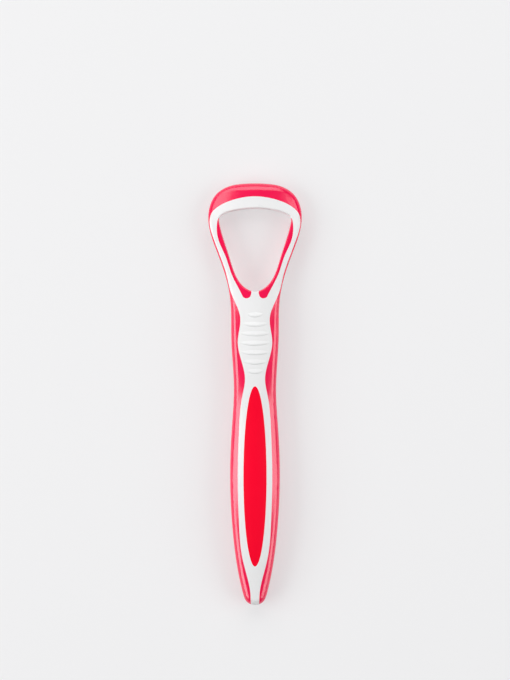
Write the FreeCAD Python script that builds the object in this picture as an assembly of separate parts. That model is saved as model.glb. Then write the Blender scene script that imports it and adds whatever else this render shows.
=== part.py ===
import FreeCAD, Part
import math
import os

# Tongue scraper moulded from a hard core and soft pieces bonded to it.
# Millimetres. X runs across, Y from the tail to the head, Z from the back to the front.
# Places called "at" are distances along the tool, measured from the tail end.

# Overall sizes of the outline
overall_length = 150.0
head_length = 41.5
tail_width = 8.7
belly_width = 17.7
waist_width = 15.0
waist_setback = 31.5
shoulder_width = 16.9
shoulder_setback = 13.5
fork_width = 17.6
head_width = 33.2
leg_bow = 0.15

# Scraping loop
lip_height = 4.8
lip_arch_radius = 49.0
head_corner_radius = 10.5
crossbar_height = 4.1
crossbar_arch_radius = 25.3
crossbar_corner_radius = 5.5
opening_arch_radius = 31.0
opening_corner_radius = 2.6
crotch_radius = 5.0
crotch_rise = 2.9
leg_width = 3.8
leg_vein = 0.5

# Hard core seen between the soft pieces
tail_strip_width = 2.6
ring_width = 12.24
neck_width = 7.1
neck_setback = 28.1
thumb_width = 12.2
thumb_setback = 14.9
throat_width = 10.4
throat_setback = 6.7

# Soft linings of the loop
lining_width = 1.4
lining_slope = 1.2
lobe_radius = 1.65
lobe_drop = 0.8
bridge_width = 2.7

# Heights of the front and the back along the middle
tail_front = 6.6
taper_front = 9.3
belly_front = 10.6
waist_front = 10.2
thumb_front = 10.2
fork_front = 9.5
leg_front = 8.1
crossbar_front = 7.0
lip_front = 4.4
tail_back = 1.4
taper_back = 0.6
belly_back = 0.2
waist_back = 0.7
thumb_back = 1.6
fork_back = 2.0
leg_back = 1.2
crossbar_back = 0.3
lip_back = 0.1
handle_front_drop = 2.67
handle_back_drop = 1.34
thumb_front_drop = 1.9
thumb_back_drop = 1.2
fork_front_drop = 2.04
fork_back_drop = 0.87
head_front_drop = 2.0
head_back_drop = 0.46
ridge_height = 4.8

# Rounding
handle_edge_radius = 2.6
head_edge_radius = 1.6
lip_front_radius = 2.9
lip_back_radius = 1.2
opening_edge_radius = 0.4
pad_edge_radius = 0.3

# Thumb ribs
rib_count = 7
rib_setback = 16.5
rib_pitch = 3.33
rib_longest = 10.6
rib_shortest = 5.0
rib_width = 2.0
rib_height = 0.45
rib_end_height = 0.38
rib_bow = 0.55
rib_edge_radius = 0.7
rib_root = 3.0
rib_end_margin = 0.1

# Grip pads, their anchor pins and the keys that hold the side grips
pad_width = 8.2
pad_tail_gap = 14.0
pad_neck_gap = 2.6
front_pad_depth = 3.0
back_pad_depth = 2.4
anchor_diameter = 3.0
anchor_depth = 1.8
anchor_end_gap = 17.0
key_end_gap = 14.0
key_reach = 1.2
key_height = 2.0

# Places that follow from the sizes above
fork_at = overall_length - head_length
shoulder_at = fork_at - shoulder_setback
thumb_at = fork_at - thumb_setback
throat_at = fork_at - throat_setback
neck_at = fork_at - neck_setback
waist_at = fork_at - waist_setback
pad_top = neck_at - pad_neck_gap
belly_at = (pad_tail_gap + pad_top) / 2
crossbar_at = overall_length - lip_height
opening_top = crossbar_at - crossbar_height
opening_bottom = fork_at + crotch_rise
opening_half = head_width / 2 - leg_width
rib_middle = fork_at - rib_setback
opening_round = min(opening_edge_radius, 0.12 * leg_width)
mid_height = (belly_front + belly_back) / 2
beyond = 6.0


def at(x, along, z=0.0):
    """Point from its offset off the middle, its place along the tool and its height."""
    return FreeCAD.Vector(x, along - overall_length / 2, z)


def arch_points(half_width, top, arch_radius, corner_radius):
    """Right half of an arched end: side, corner and arch, from the widest place to the top."""
    across = half_width - corner_radius
    arch_at = top - arch_radius
    rise = math.sqrt((arch_radius - corner_radius) ** 2 - across ** 2)
    turn = math.atan2(across, rise)
    middle = (math.pi / 2 - turn) / 2
    corner = (across + corner_radius * math.cos(middle), arch_at + rise + corner_radius * math.sin(middle))
    join = (arch_radius * math.sin(turn), arch_at + arch_radius * math.cos(turn))
    crown = (arch_radius * math.sin(turn / 2), arch_at + arch_radius * math.cos(turn / 2))
    return [(half_width, arch_at + rise), corner, join, crown]


def smooth_wire(points, pieces):
    """Closed outline through points with an even bend throughout, cut into an even number of edges."""
    count = len(points)
    gaps = [points[i].distanceToPoint(points[(i + 1) % count]) for i in range(count)]
    spans = [points[(i + 1) % count] - points[i - 1] for i in range(count)]
    slopes = [span * (1 / (gaps[i] + gaps[i - 1])) for i, span in enumerate(spans)]
    for sweep in range(60):
        for i in range(count):
            before, after = gaps[i - 1], gaps[i]
            pull = (points[i] - points[i - 1]) * (3 * after / before)
            pull += (points[(i + 1) % count] - points[i]) * (3 * before / after)
            pull -= slopes[i - 1] * after + slopes[(i + 1) % count] * before
            slopes[i] = pull * (0.5 / (before + after))
    half = [round(i * count / pieces) for i in range(pieces // 2 + 1)]
    cuts = half[:-1] + [count - i for i in reversed(half)]
    return Part.Wire([smooth_edge(points, gaps, slopes, a, b) for a, b in zip(cuts[:-1], cuts[1:])])


def smooth_edge(points, gaps, slopes, first, last):
    """Edge of a smooth outline between two of its points."""
    count = len(points)
    poles = [points[first]]
    knots = [0.0]
    for i in range(first, last):
        after = (i + 1) % count
        poles += [points[i] + slopes[i] * (gaps[i] / 3), points[after] - slopes[after] * (gaps[i] / 3)]
        knots.append(knots[-1] + gaps[i])
    poles.append(points[last % count])
    repeats = [4] + [2] * (len(knots) - 2) + [4]
    curve = Part.BSplineCurve()
    curve.buildFromPolesMultsKnots(poles, repeats, knots, False, 3)
    for knot in range(len(knots) - 1, 1, -1):
        curve.removeKnot(knot, 1, 1e-6)
    return curve.toShape()


def mirrored_wire(first, right, last, z=0.0):
    """Symmetric outline from its two ends on the middle line and the stations of its right side."""
    points = [at(0, first, z)]
    points += [at(x, along, z) for x, along in right]
    points += [at(0, last, z)]
    points += [at(-x, along, z) for x, along in reversed(right)]
    return smooth_wire(points, 8)


def prism(wire, low, high):
    """Upright solid over an outline."""
    solid = Part.Face(wire).extrude(FreeCAD.Vector(0, 0, high - low))
    solid.translate(FreeCAD.Vector(0, 0, low))
    return solid


def leg_station():
    """Middle of the outer side of the right leg."""
    widest, widest_at = arch_points(head_width / 2, overall_length, lip_arch_radius, head_corner_radius)[0]
    return ((fork_width / 2 + widest) / 2 + leg_bow, (fork_at + widest_at) / 2)


def outer_wire():
    """Outline of the whole tool."""
    tail = tail_width / 2
    belly = belly_width / 2
    waist = waist_width / 2
    right = [
        (tail * math.sin(math.radians(40)), tail * (1 - math.cos(math.radians(40)))),
        (tail, tail),
        (tail + 0.77 * (belly - tail), (tail + belly_at) / 2),
        (belly, belly_at),
        (waist + 0.62 * (belly - waist), (belly_at + waist_at) / 2),
        (waist, waist_at),
        (shoulder_width / 2, shoulder_at),
        (fork_width / 2, fork_at),
        leg_station(),
    ]
    right += arch_points(head_width / 2, overall_length, lip_arch_radius, head_corner_radius)
    return mirrored_wire(0, right, overall_length)


def reach(wire, along):
    """Half width of a symmetric outline at a place along the tool."""
    probe = Part.makeLine(at(0, along), at(overall_length, along))
    return probe.common(Part.Face(wire)).BoundBox.XMax


def opening_arch(slope=0.0):
    """Right half of the opening's arched top."""
    return arch_points(opening_half + slope, opening_top, opening_arch_radius, opening_corner_radius)


def opening_wire(slope=0.0, z=0.0):
    """Outline of the loop opening, with its legs moved outwards by slope."""
    leg, leg_at = leg_station()
    edge = leg - leg_width + slope
    arch = opening_arch(slope)
    widest, widest_at = arch[0]
    lean = math.atan2(widest - edge, widest_at - leg_at)
    sink = opening_corner_radius * math.sin(lean)
    inset = opening_corner_radius * (1 - math.cos(lean))
    turn = math.radians(44)
    right = [
        (crotch_radius * math.sin(turn) + slope / 2, opening_bottom + crotch_radius * (1 - math.cos(turn))),
        (edge, leg_at),
        (widest - inset, widest_at - sink),
    ]
    return mirrored_wire(opening_bottom, right + arch, opening_top, z)


def core_arch(outside):
    """Right half of the core's arched top, kept inside the outline by the width of the leg vein."""
    half = head_width / 2 - leg_vein
    for trial in range(4):
        points = arch_points(half, crossbar_at, crossbar_arch_radius, crossbar_corner_radius)
        half = reach(outside, points[0][1]) - leg_vein
    return points


def core_wire():
    """Outline of the hard core between the outer soft pieces."""
    outside = outer_wire()
    strip = tail_strip_width / 2
    ring = ring_width / 2
    below = belly_at - tail_width / 2
    above = neck_at - belly_at
    right = [
        (strip, -beyond / 4),
        (strip * 1.25, tail_width / 2),
        (0.71 * ring, belly_at - 0.71 * below),
        (0.93 * ring, belly_at - 0.38 * below),
        (ring, belly_at),
        (0.93 * ring, belly_at + 0.45 * above),
        (0.74 * ring, belly_at + 0.82 * above),
        (neck_width / 2, neck_at),
        (thumb_width / 2, thumb_at),
        (throat_width / 2, throat_at),
    ]
    arch = core_arch(outside)
    leg_length = arch[0][1] - opening_bottom
    for share in (0, 0.25, 0.5, 0.75):
        along = opening_bottom + share * leg_length
        right.append((reach(outside, along) - 1.1 * leg_vein, along))
    return mirrored_wire(-beyond, right + arch, crossbar_at)


def lining_wire(side):
    """Outline that holds the soft lining of one leg, from the lobe at the fork to the crossbar corner."""
    opening = opening_wire()
    leg_at = leg_station()[1]
    edge = reach(opening, leg_at)
    widest, widest_at = opening_arch()[0]
    lean = math.atan2(widest - edge, widest_at - leg_at)
    out = lining_width * math.cos(lean)
    lobe = bridge_width / 2 + lobe_radius
    lobe_at = opening_bottom - lobe_drop
    low_at = (opening_bottom + leg_at) / 2
    low = reach(opening, low_at)
    points = [
        (lobe, lobe_at - lobe_radius),
        (lobe + 0.71 * lobe_radius, lobe_at - 0.71 * lobe_radius),
        (lobe + lobe_radius * math.cos(lean), lobe_at - lobe_radius * math.sin(lean)),
        (low + out, low_at),
        (edge + out, leg_at),
        (widest + 0.55 * out, widest_at - 2 * opening_corner_radius / 3),
        (widest, widest_at + opening_corner_radius / 3),
        (widest - out, widest_at - opening_corner_radius / 3),
        (edge - out, leg_at),
        (low - 2 * out, low_at),
        (lobe - lobe_radius, lobe_at),
        (lobe - 0.71 * lobe_radius, lobe_at - 0.71 * lobe_radius),
    ]
    return smooth_wire([at(side * x, along) for x, along in points], 4)


def pad_wire():
    """Oval outline of the grip pads."""
    ellipse = Part.Ellipse(at(0, pad_top), at(pad_width / 2, belly_at), at(0, belly_at))
    turns = [i * math.pi / 2 for i in range(5)]
    return Part.Wire([ellipse.toShape(a, b) for a, b in zip(turns[:-1], turns[1:])])


def drop(crown, half_width):
    """How far a crowned surface falls off between its middle and its side."""
    return crown - math.sqrt(crown ** 2 - half_width ** 2)


def section(along, height, half_width, crown, base):
    """Cross-section with one crowned side, front or back, and a flat side at the base height."""
    bend = math.copysign(drop(crown, half_width), height - base)
    left = at(-half_width, along, height - bend)
    right = at(half_width, along, height - bend)
    right_base = at(half_width, along, base)
    left_base = at(-half_width, along, base)
    return Part.Wire([
        Part.Arc(left, at(0, along, height), right).toShape(),
        Part.makeLine(right, right_base),
        Part.makeLine(right_base, left_base),
        Part.makeLine(left_base, left),
    ])


def crown_radius(width, side_drop):
    """Radius of a crowned side that falls by side_drop from its middle to the edge of the given width."""
    return (width ** 2 / 4 + side_drop ** 2) / (2 * side_drop)


def crowned_block(heights, drops, base):
    """Solid between a flat base and the crowned front or back, wider than the outline all the way."""
    margin = 2.5
    widths = [belly_width, belly_width, fork_width, head_width]
    handle_crown, thumb_crown, fork_crown, head_crown = map(crown_radius, widths, drops)
    stations = [
        (-beyond, tail_width, handle_crown),
        (belly_at / 3, belly_width, handle_crown),
        (belly_at, belly_width, handle_crown),
        (waist_at, belly_width, handle_crown),
        (shoulder_at, belly_width, thumb_crown),
        (fork_at, fork_width + margin, fork_crown),
        (leg_station()[1], head_width, head_crown),
        (opening_top, head_width, head_crown),
        (overall_length + beyond, head_width, head_crown),
    ]
    wires = []
    for (along, width, crown), height in zip(stations, heights):
        wires.append(section(along, height, width / 2 + margin, crown, base))
    return Part.makeLoft(wires, True, False, False, 3)


def front_block():
    """Everything below the front."""
    heights = [tail_front, taper_front, belly_front, waist_front, thumb_front,
               fork_front, leg_front, crossbar_front, lip_front]
    drops = [handle_front_drop, thumb_front_drop, fork_front_drop, head_front_drop]
    return crowned_block(heights, drops, -2 * beyond)


def back_block():
    """Everything above the back."""
    heights = [tail_back, taper_back, belly_back, waist_back, thumb_back,
               fork_back, leg_back, crossbar_back, lip_back]
    drops = [handle_back_drop, thumb_back_drop, fork_back_drop, head_back_drop]
    return crowned_block(heights, drops, belly_front + 2 * beyond)


def broad_faces(shape):
    """Front face and back face of a shape, the two largest that look up and down."""
    found = []
    for sign in (1, -1):
        looking = []
        for face in shape.Faces:
            u0, u1, v0, v1 = face.ParameterRange
            if face.normalAt((u0 + u1) / 2, (v0 + v1) / 2).z * sign > 0.6:
                looking.append(face)
        found.append(max(looking, key=lambda face: face.Area))
    return found


def rounded_outside(body):
    """Round the outer edges: full on the handle and the lip, less on the legs, changing evenly between."""
    fork_side = fork_front - fork_front_drop - fork_back - fork_back_drop
    head_side = crossbar_front - head_front_drop - crossbar_back - head_back_drop
    handle = min(handle_edge_radius, 0.55 * fork_side)
    head = min(head_edge_radius, 0.45 * head_side, 0.42 * leg_width)
    lip_room = lip_front - lip_back
    lips = [min(lip_front_radius, 0.68 * lip_room), min(lip_back_radius, 0.28 * lip_room)]
    fork_y = fork_at - overall_length / 2
    radii = []
    for face, lip in zip(broad_faces(body), lips):
        first = face.Edges[0]
        middle = (first.FirstParameter + first.LastParameter) / 2
        turn = first.valueAt(middle).cross(first.tangentAt(middle)).z
        for edge in face.Edges:
            number = [other.isSame(edge) for other in body.Edges].index(True) + 1
            lower, upper = handle, head
            if edge.BoundBox.YMax < fork_y:
                lower, upper = handle, handle
            elif edge.BoundBox.YMin > fork_y:
                lower, upper = head, lip
            if edge.CenterOfMass.x * turn > 0:
                radii.append((number, lower, upper))
            else:
                radii.append((number, upper, lower))
    document = FreeCAD.newDocument("rounding")
    blank = document.addObject("Part::Feature", "blank")
    blank.Shape = body
    rounded = document.addObject("Part::Fillet", "rounded")
    rounded.Base = blank
    rounded.Edges = radii
    document.recompute()
    shape = rounded.Shape.Solids[0].copy()
    FreeCAD.closeDocument(document.Name)
    return shape


def envelope():
    """The whole tool as one rounded shape, before it is divided into pieces."""
    low = -beyond
    high = belly_front + beyond
    blank = prism(outer_wire(), low, high).common(front_block()).common(back_block())
    body = rounded_outside(blank.Solids[0])
    for height in (low, high):
        opening = [opening_wire(0, ridge_height), opening_wire(lining_slope, height)]
        body = body.cut(Part.makeLoft(opening, True, True))
    edges = []
    for face in broad_faces(body):
        for wire in face.Wires:
            if not wire.isSame(face.OuterWire):
                edges += wire.Edges
    return body.makeFillet(opening_round, edges)


def front_height(body, along, across=0.0):
    """Height of the front at a place along the tool and a distance off its middle line."""
    probe = Part.makeLine(at(across, along, -beyond), at(across, along, belly_front + beyond))
    return probe.common(body).BoundBox.ZMax


def anchor_pins(floor, direction):
    """Pins that hold a pad in the web of the core."""
    pins = []
    inwards = FreeCAD.Vector(0, 0, direction)
    for side in (-1, 1):
        foot = at(0, belly_at + side * (pad_top - belly_at - anchor_end_gap), floor)
        pins.append(Part.makeCylinder(anchor_diameter / 2, anchor_depth, foot, inwards))
    return pins


def side_keys():
    """Bar across the core whose ends reach into the side grips."""
    half = ring_width / 2 + key_reach
    low = pad_tail_gap + key_end_gap
    length = pad_top - key_end_gap - low
    return Part.makeBox(2 * half, length, key_height, at(-half, low, mid_height - key_height / 2))


def thumb_rib(body, length, along):
    """One raised rib: a low ramp that rises towards the tail, ends in a step and is lower at both tips."""
    top = front_height(body, along) + rib_height
    ramp_end = along + rib_width
    half = length / 2 + rib_end_margin
    left, middle, right = at(-half, along + rib_bow), at(0, along), at(half, along + rib_bow)
    outline = Part.Wire([
        Part.Arc(left, middle, right).toShape(),
        Part.makeLine(right, at(half, ramp_end)),
        Part.makeLine(at(half, ramp_end), at(-half, ramp_end)),
        Part.makeLine(at(-half, ramp_end), left),
    ])
    end_top = front_height(body, along, length / 2) + rib_end_height
    radius = crown_radius(length, top - end_top)
    tilt = math.degrees(math.atan2(top - front_height(body, ramp_end), rib_width))
    lengthwise = FreeCAD.Vector(0, 1, 0)
    roll = Part.makeCylinder(radius, 4 * rib_width, at(0, along - rib_width, top - radius), lengthwise)
    roll.rotate(at(0, along, top), FreeCAD.Vector(1, 0, 0), -tilt)
    rib = prism(outline, top - rib_root, top + rib_root).common(roll)
    brow = max(rib.Edges, key=lambda edge: edge.CenterOfMass.z - edge.CenterOfMass.y)
    return rib.makeFillet(rib_edge_radius, [brow])


def tall_prism(wire):
    """Upright solid over an outline, taller than the tool."""
    return prism(wire, -beyond, belly_front + beyond)


def front_pocket():
    """Space for the front pad: an oval down to the pocket floor, and its pin holes."""
    floor = belly_front - front_pad_depth
    return prism(pad_wire(), floor, belly_front + beyond).fuse(anchor_pins(floor, -1))


def back_pocket():
    """Space for the back pad, reaching out of the back."""
    return prism(pad_wire(), -beyond, back_pad_depth).fuse(anchor_pins(back_pad_depth, 1))


def core_frame(body):
    """Hard core: handle ring, thumb rest with its ribs, legs and crossbar."""
    inside = tall_prism(core_wire())
    core = body.common(inside).fuse(side_keys())
    for side in (-1, 1):
        core = core.cut(tall_prism(lining_wire(side)))
    core = core.cut(front_pocket()).cut(back_pocket())
    ribs = []
    last = max(rib_count - 1, 1) / 2
    for i in range(rib_count):
        step = i - (rib_count - 1) / 2
        length = rib_longest - (rib_longest - rib_shortest) * (step / last) ** 2
        ribs.append(thumb_rib(body, length, rib_middle + step * rib_pitch).common(inside))
    return core.fuse(ribs)


def outer_band(body):
    """Soft band: side grips, thin lines along the legs and the scraping lip."""
    return body.cut(tall_prism(core_wire())).cut(side_keys())


def loop_lining(body):
    """Soft lining on the inside of the right leg."""
    return body.common(tall_prism(lining_wire(1)))


def front_grip_pad(body):
    """Soft oval let into the front of the handle, flush with it."""
    return body.common(front_pocket())


def back_grip_pad():
    """Soft oval on the back of the handle, with the flat face that the tool rests on."""
    pad = prism(pad_wire(), 0, back_pad_depth)
    lowest = min(pad.Faces, key=lambda face: face.CenterOfMass.z)
    pad = pad.makeFillet(pad_edge_radius, lowest.Edges)
    return pad.fuse(anchor_pins(back_pad_depth, 1))


def build():
    """All pieces by name."""
    body = envelope()
    lining = loop_lining(body)
    return {
        "core_frame": core_frame(body),
        "outer_band": outer_band(body),
        "loop_lining_left": lining.mirror(at(0, 0), FreeCAD.Vector(1, 0, 0)),
        "loop_lining_right": lining,
        "front_grip_pad": front_grip_pad(body),
        "back_grip_pad": back_grip_pad(),
    }


os.makedirs("parts", exist_ok=True)
for name, shape in build().items():
    if len(shape.Solids) != 1:
        raise ValueError("%s has %d solids" % (name, len(shape.Solids)))
    shape.Solids[0].exportStep("parts/%s.step" % name)
    box = shape.optimalBoundingBox()
    print("%-18s %6.2f x %6.2f x %5.2f mm, %8.1f mm3, valid %s" % (
        name, box.XLength, box.YLength, box.ZLength, shape.Volume, shape.isValid()))
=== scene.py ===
# %% [markdown]
# A two-colour moulded tongue scraper
# The real scraper is moulded in two shots. A hard white core comes first, and soft red rubber is then
# moulded around it and into it: an outer band, two linings in the loop and two grip pads. The pieces
# could be modelled again here, but the frame already holds them at their measured size, with smooth
# normals. So this lesson keeps them as they are, and gives them their finishes, their light and their
# camera.

# %% Load the measured solids
import math

import bpy
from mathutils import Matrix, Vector


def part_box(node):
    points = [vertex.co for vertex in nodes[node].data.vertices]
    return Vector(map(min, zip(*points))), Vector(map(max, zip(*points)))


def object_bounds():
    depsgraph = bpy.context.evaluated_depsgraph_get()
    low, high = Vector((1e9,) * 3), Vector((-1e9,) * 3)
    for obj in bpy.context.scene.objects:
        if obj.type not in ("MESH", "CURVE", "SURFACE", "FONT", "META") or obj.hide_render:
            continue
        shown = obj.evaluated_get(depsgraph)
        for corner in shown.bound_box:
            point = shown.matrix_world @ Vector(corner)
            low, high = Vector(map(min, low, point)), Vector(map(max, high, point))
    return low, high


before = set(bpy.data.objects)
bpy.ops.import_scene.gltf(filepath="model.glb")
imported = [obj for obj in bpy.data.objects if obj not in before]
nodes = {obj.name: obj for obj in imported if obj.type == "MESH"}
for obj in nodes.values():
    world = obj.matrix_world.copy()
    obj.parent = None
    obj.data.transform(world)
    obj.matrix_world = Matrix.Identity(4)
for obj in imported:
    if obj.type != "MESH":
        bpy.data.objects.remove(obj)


def millimetres(lengths):
    """Lengths in metres as rounded millimetres, for printing."""
    return [round(1000 * length, 2) for length in lengths]


cad_low, cad_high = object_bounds()
print("solids:", sorted(nodes))
print("size in mm:", millimetres(cad_high - cad_low))

# %% [markdown]
# Which piece has which finish
# The tool has two plastics but three finishes, because the rubber of the grip pads is duller and purer
# red than that of the band. Each piece could get a material of its own. We list the pieces of each
# finish instead, so that one change reaches all of them.

# %% Sort the pieces by finish
BAND_PIECES = ["outer_band", "loop_lining_left", "loop_lining_right"]
PAD_PIECES = ["front_grip_pad", "back_grip_pad"]
CORE_PIECES = ["core_frame"]
for name in BAND_PIECES + PAD_PIECES + CORE_PIECES:
    low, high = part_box(name)
    print(name, "spans", millimetres(high - low), "mm")

# %% [markdown]
# The skin that a mould leaves
# Moulded plastic copies the very fine grain of its steel mould, and the melt leaves broad, faint clouds
# in gloss and colour. This could be painted on an image, but an image needs a UV map and blurs close
# up. Noise that reads Object coordinates is sharp at any distance and stays put on the piece. All three
# finishes need it, so it is a shader node group: the grain comes out as a height, and the clouds come
# out as masks.

# %% Helper for adding a node
def add_node(tree, kind, place, operation=None, **values):
    """Add a node, place it in the editor, and set its operation and its plain inputs by name."""
    node = tree.nodes.new(kind)
    node.location = place
    if operation:
        node.operation = operation
    for socket, value in values.items():
        node.inputs[socket.replace("_", " ")].default_value = value
    return node


# %% Build the mould skin group
CLOUD_SHIFT = (0.31, 0.17, 0.23)  # keeps the colour clouds from lying on the gloss clouds


def make_mould_skin():
    """Node group that turns a place on the surface into a fine grain and two broad clouds."""
    group = bpy.data.node_groups.new("mould_skin", "ShaderNodeTree")
    for name, kind in (("Place", "NodeSocketVector"), ("Grain Scale", "NodeSocketFloat"),
                       ("Cloud Scale", "NodeSocketFloat")):
        group.interface.new_socket(name, in_out="INPUT", socket_type=kind)
    for name in ("Grain", "Gloss Cloud", "Colour Cloud"):
        group.interface.new_socket(name, in_out="OUTPUT", socket_type="NodeSocketFloat")
    start = add_node(group, "NodeGroupInput", (-700, 0))
    end = add_node(group, "NodeGroupOutput", (300, 0))
    grain = add_node(group, "ShaderNodeTexNoise", (-300, 200), Detail=3.0, Roughness=0.6)
    gloss = add_node(group, "ShaderNodeTexNoise", (-300, -50), Detail=4.0, Roughness=0.55, Distortion=0.4)
    shift = add_node(group, "ShaderNodeVectorMath", (-500, -300), operation="ADD")
    shift.inputs[1].default_value = CLOUD_SHIFT
    colour = add_node(group, "ShaderNodeTexNoise", (-300, -300), Detail=2.0, Roughness=0.5)
    link = group.links.new
    link(start.outputs["Place"], grain.inputs["Vector"])
    link(start.outputs["Place"], gloss.inputs["Vector"])
    link(start.outputs["Place"], shift.inputs[0])
    link(shift.outputs[0], colour.inputs["Vector"])
    link(start.outputs["Grain Scale"], grain.inputs["Scale"])
    link(start.outputs["Cloud Scale"], gloss.inputs["Scale"])
    link(start.outputs["Cloud Scale"], colour.inputs["Scale"])
    link(grain.outputs["Fac"], end.inputs["Grain"])
    link(gloss.outputs["Fac"], end.inputs["Gloss Cloud"])
    link(colour.outputs["Fac"], end.inputs["Colour Cloud"])
    return group


mould_skin = make_mould_skin()
print("group", mould_skin.name, "with", len(mould_skin.nodes), "nodes")

# %% [markdown]
# A material that wears the skin
# All three finishes are built alike: the colour clouds mix two near tones, the gloss clouds move the
# roughness a little, and the grain drives a bump of a few micrometres. Three materials built by hand
# would repeat the same nodes, so a helper builds them, and only the numbers differ. Values that are the
# same all over, such as the index of refraction, are set on the shader itself.

# %% Helper for a moulded plastic
CLOUD_LOW, CLOUD_HIGH = 0.3, 0.7  # nearly all values of the noise lie between these


def moulded_plastic(name, tones, gloss, grain_scale, cloud_scale, grain_depth, **shader_values):
    """Material of two near tones and a range of roughness, with a grain as deep as given in metres."""
    material = bpy.data.materials.new(name)
    material.use_nodes = True
    tree = material.node_tree
    tree.nodes.clear()
    place = add_node(tree, "ShaderNodeTexCoord", (-1000, 0))
    skin = add_node(tree, "ShaderNodeGroup", (-800, 0))
    skin.node_tree = mould_skin
    skin.inputs["Grain Scale"].default_value = grain_scale
    skin.inputs["Cloud Scale"].default_value = cloud_scale
    blend = add_node(tree, "ShaderNodeMix", (-500, 200))
    blend.data_type = "RGBA"
    for socket, tone in zip([socket for socket in blend.inputs if socket.type == "RGBA"], tones):
        socket.default_value = (*tone, 1.0)
    blended = [socket for socket in blend.outputs if socket.type == "RGBA"][0]
    spread = add_node(tree, "ShaderNodeMapRange", (-500, -50), From_Min=CLOUD_LOW, From_Max=CLOUD_HIGH,
                      To_Min=gloss[0], To_Max=gloss[1])
    bump = add_node(tree, "ShaderNodeBump", (-500, -350), Strength=1.0, Distance=grain_depth)
    shader = add_node(tree, "ShaderNodeBsdfPrincipled", (-200, 0), **shader_values)
    out = add_node(tree, "ShaderNodeOutputMaterial", (150, 0))
    link = tree.links.new
    link(place.outputs["Object"], skin.inputs["Place"])
    link(skin.outputs["Colour Cloud"], blend.inputs["Factor"])
    link(skin.outputs["Gloss Cloud"], spread.inputs["Value"])
    link(skin.outputs["Grain"], bump.inputs["Height"])
    link(blended, shader.inputs["Base Color"])
    link(spread.outputs["Result"], shader.inputs["Roughness"])
    link(bump.outputs["Normal"], shader.inputs["Normal"])
    link(shader.outputs["BSDF"], out.inputs["Surface"])
    print(name, "has", len(tree.nodes), "nodes")
    return material


# %% Helper for putting a finish on its pieces
def dress(pieces, material):
    """Put one material on each of the named pieces."""
    for name in pieces:
        nodes[name].data.materials.clear()
        nodes[name].data.materials.append(material)
    print(material.name, "on", pieces)


# %% [markdown]
# Satin red rubber of the band
# The band and the linings are a strong, slightly pinkish red with a smooth skin. Their rounded sides
# show long pale lines, and the colour between the lines stays deep. The lines could be painted on, but
# then they would stay where they are when the tool or the light moves. A low roughness and a raised
# specular level give them as real reflections.

# %% Make the satin rubber
satin_rubber = moulded_plastic(
    "satin_rubber",
    tones=((0.96, 0.002, 0.085), (0.91, 0.002, 0.072)),
    gloss=(0.14, 0.19),
    grain_scale=7000.0, cloud_scale=90.0, grain_depth=0.000005,
    IOR=1.6, Specular_IOR_Level=0.7,
)
dress(BAND_PIECES, satin_rubber)

# %% [markdown]
# Matt red rubber of the grip pads
# The two oval pads are let into the handle, and their red is even and full. They could wear the finish
# of the band, but its reflections would lie on them as a pale veil. A rougher skin with a coarser,
# deeper grain and little specular reflection keeps their colour.

# %% Make the matt rubber
matt_rubber = moulded_plastic(
    "matt_rubber",
    tones=((0.97, 0.0008, 0.028), (0.92, 0.0006, 0.023)),
    gloss=(0.36, 0.44),
    grain_scale=4500.0, cloud_scale=70.0, grain_depth=0.000010,
    IOR=1.45, Specular_IOR_Level=0.15,
)
dress(PAD_PIECES, matt_rubber)

# %% [markdown]
# Hard white plastic
# The core is a neutral white with a soft gloss. Pure white would clip in the light and hide the thumb
# ribs and the rounded edges. So both tones stay below it, and one of them is very slightly cool.

# %% Make the white plastic
white_plastic = moulded_plastic(
    "white_plastic",
    tones=((0.86, 0.86, 0.86), (0.81, 0.815, 0.82)),
    gloss=(0.26, 0.34),
    grain_scale=5000.0, cloud_scale=60.0, grain_depth=0.000003,
    IOR=1.49, Specular_IOR_Level=0.5,
)
dress(CORE_PIECES, white_plastic)

# %% [markdown]
# Floor
# The tool lies on its back, so a pale floor lies just under the flat face of the back pad. A plain
# painted floor would end in a hard horizon in low views, and close to the tool it would turn pink from
# the light that the red sides throw on it. So the paint is mixed with a pale glow that only the camera
# and reflections see. Close to the tool the glow has a share, and the paint still takes the shadow. Far
# away the glow has it all.

# %% Lay the floor
FLOOR_SIDE = 40.0
FLOOR_GAP = 0.00005
bpy.ops.object.select_all(action="DESELECT")
bpy.ops.mesh.primitive_plane_add(size=FLOOR_SIDE, location=(0.0, 0.0, cad_low.z - FLOOR_GAP))
floor = bpy.context.object
floor.name = "floor"
print("floor at z =", round(floor.location.z * 1000, 3), "mm")

# %% Let the glow grow with distance
FADE_START, FADE_END = 0.22, 0.60
GLOW_NEAR, GLOW_FAR = 0.55, 1.0
floor_paint = bpy.data.materials.new("floor_paint")
floor_paint.use_nodes = True
tree = floor_paint.node_tree
tree.nodes.clear()
link = tree.links.new
place = add_node(tree, "ShaderNodeTexCoord", (-900, 0))
far = add_node(tree, "ShaderNodeVectorMath", (-700, 0), operation="LENGTH")
fade = add_node(tree, "ShaderNodeMapRange", (-500, 0), From_Min=FADE_START, From_Max=FADE_END,
                To_Min=GLOW_NEAR, To_Max=GLOW_FAR)
fade.interpolation_type = "SMOOTHSTEP"
link(place.outputs["Object"], far.inputs[0])
link(far.outputs["Value"], fade.inputs["Value"])
print("glow grows from", GLOW_NEAR, "at", FADE_START, "m to", GLOW_FAR, "at", FADE_END, "m")

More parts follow.
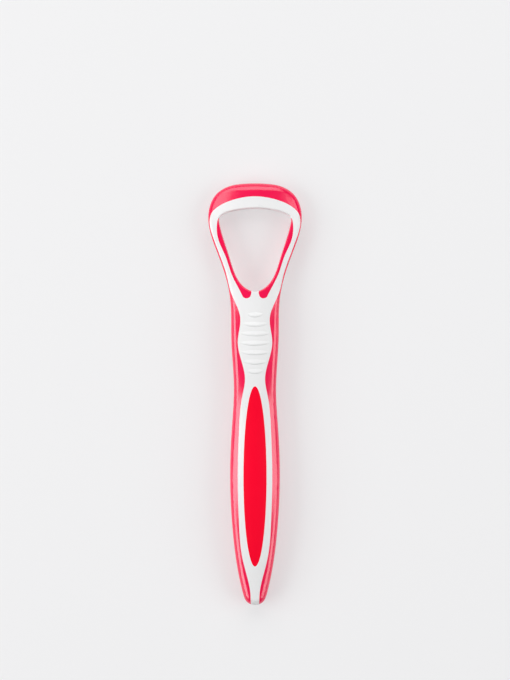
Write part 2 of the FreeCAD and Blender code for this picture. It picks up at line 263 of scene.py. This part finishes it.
# %% Mix the paint and the glow
PALE = (0.88, 0.88, 0.89, 1.0)
FLOOR_TONE = (0.84, 0.84, 0.845, 1.0)
ray = add_node(tree, "ShaderNodeLightPath", (-700, 350))
eye = add_node(tree, "ShaderNodeMath", (-500, 350), operation="MAXIMUM")
share = add_node(tree, "ShaderNodeMath", (-300, 150), operation="MULTIPLY")
matt = add_node(tree, "ShaderNodeBsdfDiffuse", (-300, -100), Color=FLOOR_TONE)
glow = add_node(tree, "ShaderNodeEmission", (-300, -300), Color=PALE, Strength=1.0)
mix = add_node(tree, "ShaderNodeMixShader", (-50, 0))
out = add_node(tree, "ShaderNodeOutputMaterial", (150, 0))
link(ray.outputs["Is Camera Ray"], eye.inputs[0])
link(ray.outputs["Is Glossy Ray"], eye.inputs[1])
link(fade.outputs["Result"], share.inputs[0])
link(eye.outputs[0], share.inputs[1])
link(share.outputs[0], mix.inputs[0])
link(matt.outputs[0], mix.inputs[1])
link(glow.outputs[0], mix.inputs[2])
link(mix.outputs[0], out.inputs["Surface"])
floor.data.materials.append(floor_paint)
print(floor_paint.name, "has", len(tree.nodes), "nodes")

# %% [markdown]
# Light
# The pale lines on the rounded sides and on the lip are mirror images of lamps. Seen from straight
# above, a surface mirrors what stands at 90 degrees less twice its tilt above the floor. So two long
# soft panels stand low beside the tool, and a third one stands beyond the lip, where it also lights the
# upper flank of each thumb rib. One lamp straight above would be simpler, but the surfaces that face
# the camera would mirror it and lose their colour. A panel is given by how bright it looks, and its
# power follows from its area.

# %% Helper for a light panel
def add_panel(name, place, size, brightness):
    """Rectangular lamp that looks at the middle of the tool."""
    lamp = bpy.data.lights.new(name, "AREA")
    lamp.shape = "RECTANGLE"
    lamp.size, lamp.size_y = size
    lamp.energy = brightness * math.pi * size[0] * size[1]
    panel = bpy.data.objects.new(name, lamp)
    bpy.context.scene.collection.objects.link(panel)
    panel.location = place
    panel.rotation_euler = (-Vector(place)).to_track_quat("-Z", "Y").to_euler()
    panel.visible_camera = False
    height = math.degrees(math.atan2(place[2], math.hypot(place[0], place[1])))
    tilt = (90 - height) / 2
    print(name, "has", round(lamp.energy, 2), "W and shows where the tilt is", round(tilt), "degrees")


# %% Hang the panels
SIDE_OUT, SIDE_ALONG, SIDE_UP = 0.92, -0.15, 0.58
SIDE_SIZE = (1.05, 0.72)
LEFT_BRIGHTNESS, RIGHT_BRIGHTNESS = 3.9, 2.9
LIP_PLACE = (-0.10, 0.87, 0.70)
LIP_SIZE = (1.50, 0.95)
LIP_BRIGHTNESS = 2.1
add_panel("left_panel", (-SIDE_OUT, SIDE_ALONG, SIDE_UP), SIDE_SIZE, LEFT_BRIGHTNESS)
add_panel("right_panel", (SIDE_OUT, SIDE_ALONG, SIDE_UP), SIDE_SIZE, RIGHT_BRIGHTNESS)
add_panel("lip_panel", LIP_PLACE, LIP_SIZE, LIP_BRIGHTNESS)

# %% [markdown]
# Surroundings
# The walls of a studio fill the shadows a little. A bright world would fill them too, but it would also
# lie on the red pieces as a pale veil, so the light of this world is weak. The camera sees it in the
# same pale tone as the far floor. Reflections keep the weak one: nothing here is metal or glass, which
# would need the pale tone, and the gloss of the rubber would only lose colour to it.

# %% Set the world
WORLD_FILL = 0.10
WHITE = (1.0, 1.0, 1.0, 1.0)
world = bpy.data.worlds.new("studio")
bpy.context.scene.world = world
world.use_nodes = True
tree = world.node_tree
tree.nodes.clear()
link = tree.links.new
fill = add_node(tree, "ShaderNodeBackground", (-200, 100), Color=WHITE, Strength=WORLD_FILL)
seen = add_node(tree, "ShaderNodeBackground", (-200, -100), Color=PALE, Strength=1.0)
ray = add_node(tree, "ShaderNodeLightPath", (-400, 300))
choose = add_node(tree, "ShaderNodeMixShader", (50, 0))
out = add_node(tree, "ShaderNodeOutputWorld", (250, 0))
link(ray.outputs["Is Camera Ray"], choose.inputs[0])
link(fill.outputs[0], choose.inputs[1])
link(seen.outputs[0], choose.inputs[2])
link(choose.outputs[0], out.inputs["Surface"])
print("world fill", WORLD_FILL)

# %% [markdown]
# Camera
# The picture looks square on to the front of the tool, with the lip at the top. A short lens close by
# would swell the thick handle, so a long lens stands a metre away and keeps the perspective as flat as
# it is in the picture. The frame is 680 pixels high and covers 241 mm. It is taller than wide, so
# Blender lays the sensor's width along its height.

# %% Place the camera
FRAME_HEIGHT = 0.2409
AIM = Vector((0.0, 0.0192, 0.0085))
DISTANCE = 1.0
SENSOR = 36.0
NEAREST = 0.05
lens = bpy.data.cameras.new("front_camera")
lens.sensor_width = SENSOR
lens.lens = SENSOR * DISTANCE / FRAME_HEIGHT
lens.clip_start = NEAREST
camera = bpy.data.objects.new("front_camera", lens)
bpy.context.scene.collection.objects.link(camera)
camera.location = AIM + Vector((0.0, 0.0, DISTANCE))
bpy.context.scene.camera = camera
bpy.context.scene.view_settings.view_transform = "Standard"
print("lens", round(lens.lens, 1), "mm")
